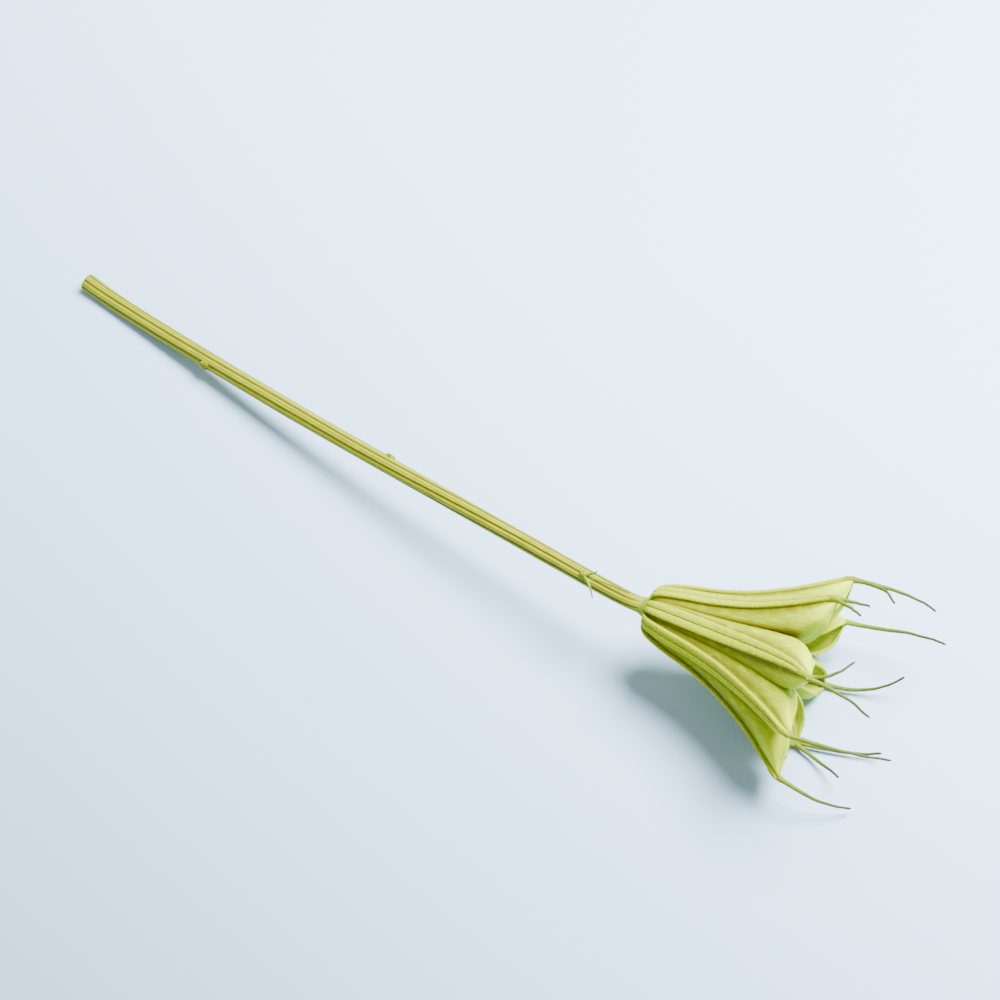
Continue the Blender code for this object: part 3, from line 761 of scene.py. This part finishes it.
class Look:
    """A material under construction: adds its nodes and joins them."""

    def __init__(self, name, roughness, **single_values):
        self.made = bpy.data.materials.new(name)
        self.made.use_nodes = True
        self.nodes = self.made.node_tree.nodes
        self.links = self.made.node_tree.links
        self.shader = self.nodes["Principled BSDF"]
        self.shader.inputs["Roughness"].default_value = roughness
        for label, value in single_values.items():
            self.shader.inputs[label.replace("_", " ")].default_value = value

    def add(self, kind, **settings):
        node = self.nodes.new("ShaderNode" + kind)
        for label, value in settings.items():
            setattr(node, label, value)
        return node

    def join(self, source, target):
        self.links.new(source, target)

    def value(self, name):
        """A number that the piece keeps for each vertex."""
        return self.add("Attribute", attribute_name=name).outputs["Fac"]

    def place(self, kind, scale=(1, 1, 1)):
        """Object coordinates or the UV map, stretched."""
        found = self.add("TexCoord").outputs[kind]
        mapping = self.add("Mapping")
        mapping.inputs["Scale"].default_value = scale
        self.join(found, mapping.inputs["Vector"])
        return mapping.outputs["Vector"]

    def grain(self, where, scale, detail=3.0, roughness=0.55):
        """Cloudy noise from 0 to 1."""
        noisy = self.add("TexNoise")
        noisy.inputs["Scale"].default_value = scale
        noisy.inputs["Detail"].default_value = detail
        noisy.inputs["Roughness"].default_value = roughness
        self.join(where, noisy.inputs["Vector"])
        return noisy.outputs["Fac"]

    def cells(self, where, scale):
        spots = self.add("TexVoronoi")
        spots.inputs["Scale"].default_value = scale
        self.join(where, spots.inputs["Vector"])
        return spots.outputs["Distance"]

    def maths(self, kind, first, second):
        """The first and second combined, each a socket or a number."""
        node = self.add("Math", operation=kind)
        for socket, given in zip(node.inputs, (first, second)):
            if isinstance(given, (int, float)):
                socket.default_value = given
            else:
                self.join(given, socket)
        return node.outputs[0]

    def between(self, value, low, high):
        """Value from low to high, as 0 to 1."""
        ranged = self.add("MapRange")
        ranged.inputs["From Min"].default_value = low
        ranged.inputs["From Max"].default_value = high
        self.join(value, ranged.inputs["Value"])
        return ranged.outputs["Result"]

    def blend(self, share, first, second):
        """Goes from the first colour to the second."""
        mix = self.add("Mix", data_type="RGBA")
        colours = [socket for socket in mix.inputs if socket.type == "RGBA"]
        for socket, given in zip(colours, (first, second)):
            if isinstance(given, tuple):
                socket.default_value = (*given, 1.0)
            else:
                self.join(given, socket)
        if isinstance(share, (int, float)):
            mix.inputs[0].default_value = share
        else:
            self.join(share, mix.inputs[0])
        return next(socket for socket in mix.outputs if socket.type == "RGBA")

    def relief(self, height, strength, distance, under=None):
        bump = self.add("Bump")
        bump.inputs["Strength"].default_value = strength
        bump.inputs["Distance"].default_value = distance
        self.join(height, bump.inputs["Height"])
        if under is not None:
            self.join(under, bump.inputs["Normal"])
        return bump.outputs["Normal"]

    def finish(self, colour, normal=None, roughness=None):
        self.join(colour, self.shader.inputs["Base Color"])
        if normal is not None:
            self.join(normal, self.shader.inputs["Normal"])
        if roughness is not None:
            self.join(roughness, self.shader.inputs["Roughness"])
        return self.made


def glow_through(look, weight, scale):
    """Light that sinks into the papery wall and comes out yellow-green."""
    look.shader.inputs["Subsurface Weight"].default_value = weight
    look.shader.inputs["Subsurface Radius"].default_value = (1.0, 0.95, 0.2)
    look.shader.inputs["Subsurface Scale"].default_value = scale


def pod_skin():
    """Outside of the pouches: satin yellow-green flanks and a paler sandy band, with painted shade in dark
    lines along the band and in the creases between flanks.
    """
    look = Look("pod skin", 0.50, Specular_IOR_Level=0.07, Specular_Tint=WAXY)
    glow_through(look, 0.18, 0.7 * MM)
    here = look.place("Object")
    fibres = look.place("UV", (5.0, 0.55, 1.0))
    veins = look.place("UV", (0.9, 4.2, 1.0))
    clouds = look.grain(here, 110, 1)
    flank = look.blend(look.between(clouds, 0.25, 0.75), FLANK_GREEN, FLANK_YELLOW)
    flank = look.blend(look.between(look.grain(fibres, 1.0, 4), 0.48, 0.98), flank, FLANK_PALE)
    streaks = look.between(look.grain(veins, 1.3, 3, 0.65), 0.56, 0.74)
    flank = look.blend(look.maths("MULTIPLY", streaks, 0.45), flank, FLANK_VEIN)
    flank = look.blend(look.between(look.value("grown"), 0.45, 0.05), flank, FLANK_ROOT)
    flank = look.blend(look.between(look.value("grown"), 0.66, 0.94), flank, FLANK_PALE)
    flank = look.blend(look.value("lip"), flank, LIP_PALE)
    # Painted shade in the creases between neighbouring flanks
    flank = look.blend(look.maths("MULTIPLY", look.value("shade_in_crease"), 0.85), flank, CREASE_SHADE)
    sand = look.grain(here, 3400, 2, 0.7)
    band = look.blend(look.between(sand, 0.40, 0.64), BAND_SAND, BAND_PALE)
    band = look.blend(look.between(clouds, 0.45, 0.85), band, BAND_GREEN)
    colour = look.blend(look.value("band"), flank, band)
    # Painted shade: dark lines in the band's middle groove and along its foot
    dark = look.maths("MULTIPLY", look.value("line"), look.between(look.grain(here, 600, 1), 0.0, 0.45))
    colour = look.blend(look.maths("MULTIPLY", dark, 0.80), colour, LINE_SHADE)
    beak = look.between(look.value("grown"), 0.93, 1.0)
    colour = look.blend(look.maths("MULTIPLY", beak, 0.75), colour, BEAK)
    papillae = look.maths("MULTIPLY", look.cells(here, 3600), look.value("band"))
    normal = look.relief(papillae, 0.60, 0.09 * MM)
    normal = look.relief(look.grain(fibres, 1.6, 3), 0.30, 0.07 * MM, normal)
    normal = look.relief(look.grain(veins, 1.3, 3, 0.65), 0.30, 0.09 * MM, normal)
    rougher_band = look.maths("MULTIPLY", look.value("band"), 0.16)
    rough = look.maths("ADD", rougher_band, look.maths("MULTIPLY", clouds, 0.90))
    return look.finish(colour, normal, look.between(rough, -0.35, 1.15))


def pod_inside():
    """Inside of the pouches: smooth, a little darker and greener, with fine fibres, and painted shade deeper
    in, towards the root.
    """
    look = Look("pod inside", 0.42, Specular_IOR_Level=0.12, Specular_Tint=WAXY)
    glow_through(look, 0.20, 0.7 * MM)
    fibres = look.place("UV", (4.0, 0.6, 1.0))
    lines = look.grain(fibres, 1.3, 4)
    colour = look.blend(look.between(lines, 0.35, 0.70), INSIDE_DEEP, INSIDE_LIGHT)
    # Painted shade: darker deeper inside the pouch, towards its root
    colour = look.blend(look.between(look.value("grown"), 0.72, 0.30), colour, INSIDE_SHADE)
    return look.finish(colour, look.relief(lines, 0.35, 0.06 * MM))


def pod_rim():
    """The cut-thin edge of the mouth, dried paler."""
    look = Look("pod rim", 0.55, Specular_IOR_Level=0.12, Specular_Tint=WAXY)
    here = look.place("Object")
    return look.finish(look.blend(look.between(look.grain(here, 1500, 2), 0.3, 0.7), LIP_PALE, BAND_GREEN))


def thread_skin():
    """Threads: pale olive where they leave the pouch, dark grey-green at their dried ends."""
    look = Look("thread skin", 0.55, Specular_IOR_Level=0.25, Specular_Tint=WAXY)
    here = look.place("Object")
    share = look.value("toward_tip")
    uneven = look.maths("ADD", share, look.maths("MULTIPLY", look.grain(here, 500, 2), 0.22))
    colour = look.blend(look.between(uneven, 0.08, 0.42), THREAD_PALE, THREAD_OLIVE)
    colour = look.blend(look.between(uneven, 0.45, 0.98), colour, THREAD_DARK)
    return look.finish(colour, look.relief(look.grain(here, 3000, 2), 0.4, 0.05 * MM))


def collar_skin():
    look = Look("collar skin", 0.6, Specular_IOR_Level=0.25, Specular_Tint=WAXY)
    here = look.place("Object")
    patches = look.between(look.grain(here, 900, 3), 0.35, 0.65)
    colour = look.blend(patches, COLLAR_GREEN, COLLAR_TAN)
    return look.finish(colour, look.relief(look.grain(here, 2600, 2), 0.5, 0.08 * MM))


def stem_skin():
    """Stem: pale straw ribs, tan grooves, green towards the pod, with long fibres."""
    look = Look("stem skin", 0.55, Specular_IOR_Level=0.12, Specular_Tint=WAXY)
    glow_through(look, 0.10, 0.6 * MM)
    here = look.place("Object", (1.0, 14.0, 14.0))
    fibres = look.grain(here, 190, 4)
    patches = look.grain(look.place("Object"), 150, 3)
    rib = look.blend(look.between(fibres, 0.35, 0.68), RIB_STRAW, RIB_PALE)
    rib = look.blend(look.between(patches, 0.45, 0.72), rib, RIB_GREEN)
    groove = look.blend(look.between(fibres, 0.4, 0.7), GROOVE_TAN, GROOVE_BROWN)
    depth = look.maths("ADD", look.value("rib"), look.maths("MULTIPLY", fibres, 0.30))
    colour = look.blend(look.between(depth, 1.02, 0.50), rib, groove)
    colour = look.blend(look.between(look.value("along"), 0.86, 1.02), colour, COLLAR_GREEN)
    normal = look.relief(fibres, 0.45, 0.10 * MM)
    return look.finish(colour, normal)


def stem_cut():
    look = Look("stem cut", 0.8)
    here = look.place("Object")
    return look.finish(
        look.blend(look.between(look.grain(here, 1400, 3), 0.35, 0.65), PITH_PALE, PITH_TAN),
        look.relief(look.grain(here, 2200, 3), 0.7, 0.12 * MM),
    )


def scar_skin():
    look = Look("leaf scar skin", 0.65, Specular_IOR_Level=0.12, Specular_Tint=WAXY)
    here = look.place("Object")
    patches = look.between(look.grain(here, 1100, 3), 0.38, 0.62)
    return look.finish(look.blend(patches, RIB_STRAW, GROOVE_TAN), look.relief(patches, 0.5, 0.06 * MM))


def leaf_skin():
    look = Look("leaf skin", 0.65, Specular_IOR_Level=0.12, Specular_Tint=WAXY)
    here = look.place("Object")
    patches = look.between(look.grain(here, 900, 2), 0.3, 0.7)
    colour = look.blend(patches, LEAF_GREEN, LEAF_YELLOW)
    colour = look.blend(look.between(look.value("toward_tip"), 0.30, 0.95), colour, HAIR_OLIVE)
    return look.finish(colour, look.relief(look.grain(here, 2500, 2), 0.4, 0.05 * MM))


# The materials
POD_SKIN = pod_skin()
POD_INSIDE = pod_inside()
POD_RIM = pod_rim()
THREAD_SKIN = thread_skin()
COLLAR_SKIN = collar_skin()
STEM_SKIN = stem_skin()
STEM_CUT = stem_cut()
SCAR_SKIN = scar_skin()
LEAF_SKIN = leaf_skin()

# The view and the light
VIEW_TURN = math.radians(35.3)
VIEW_RISE = math.radians(59.3)
VIEW_DISTANCE = 0.62
VIEW_MIDDLE = Vector((2.0, -1.0, 7.0)) * MM
LENS = 142
SHEET_SIZE = 6.0
SHEET_COLOUR = (0.48, 0.71, 1.0)
SHEET_SHADE = (0.155, 0.25, 0.38)  # where the window's light falls off
SHADE_FROM = -140 * MM
SHADE_TO = 55 * MM

# Each light stands at a turn from the front and a rise, in degrees, and shines on the origin
Light = namedtuple("Light", "name turn rise distance size power colour")
LIGHTS = (
    Light("window", 152, 64, 0.52, 0.30, 18.5, (0.97, 0.985, 1.0)),
    Light("room", -60, 50, 1.4, 1.2, 3.0, (0.98, 0.97, 0.94)),
)
SKY_STRENGTH = 0.62
SKY_COLOUR = (0.98, 0.97, 0.92)


def lay_sheet():
    """The pale smooth surface that the pod lies on."""
    bpy.ops.object.select_all(action="DESELECT")
    bpy.ops.mesh.primitive_plane_add(size=SHEET_SIZE)
    sheet = named("pale_sheet")
    look = Look("pale sheet", 0.7)
    across = look.add("SeparateXYZ")
    look.join(look.place("Object"), across.inputs["Vector"])
    # Painted shade: the sheet's colour darkens towards the front, where the window's light falls off
    light = look.between(across.outputs["Y"], SHADE_FROM, SHADE_TO)
    sheet.data.materials.append(look.finish(look.blend(light, SHEET_SHADE, SHEET_COLOUR)))


def toward(turn, rise):
    """The way from the origin to a place at a turn from the front and a rise above the surface."""
    level = math.cos(rise)
    return Vector((level * math.sin(turn), -level * math.cos(turn), math.sin(rise)))


def look_at(thing, target):
    thing.rotation_euler = (target - thing.location).to_track_quat("-Z", "Y").to_euler()


def set_camera():
    bpy.ops.object.camera_add(location=VIEW_MIDDLE + toward(VIEW_TURN, VIEW_RISE) * VIEW_DISTANCE)
    camera = bpy.context.object
    camera.name = "camera"
    look_at(camera, VIEW_MIDDLE)
    camera.data.lens = LENS
    camera.data.clip_start = 0.01
    bpy.context.scene.camera = camera


def set_light(light):
    place = toward(math.radians(light.turn), math.radians(light.rise)) * light.distance
    bpy.ops.object.light_add(type="AREA", location=place)
    lamp = bpy.context.object
    lamp.name = light.name
    lamp.data.shape = "DISK"
    lamp.data.size = light.size
    lamp.data.energy = light.power
    lamp.data.color = light.colour
    look_at(lamp, Vector((0, 0, 0)))


def set_sky():
    sky = bpy.data.worlds.new("soft room")
    bpy.context.scene.world = sky
    sky.use_nodes = True
    backdrop = sky.node_tree.nodes["Background"]
    backdrop.inputs["Color"].default_value = (*SKY_COLOUR, 1.0)
    backdrop.inputs["Strength"].default_value = SKY_STRENGTH


def main():
    for pouch in pouches():
        fold_pouch(pouch)
        for number, thread in enumerate(THREADS[pouch.index]):
            draw_thread(pouch, thread, number)
    turn_collar()
    draw_stem()
    for number, scar in enumerate(LEAF_SCARS):
        cushion(number, scar)
    leaf_remnant()
    lay_sheet()
    set_camera()
    for light in LIGHTS:
        set_light(light)
    set_sky()


main()
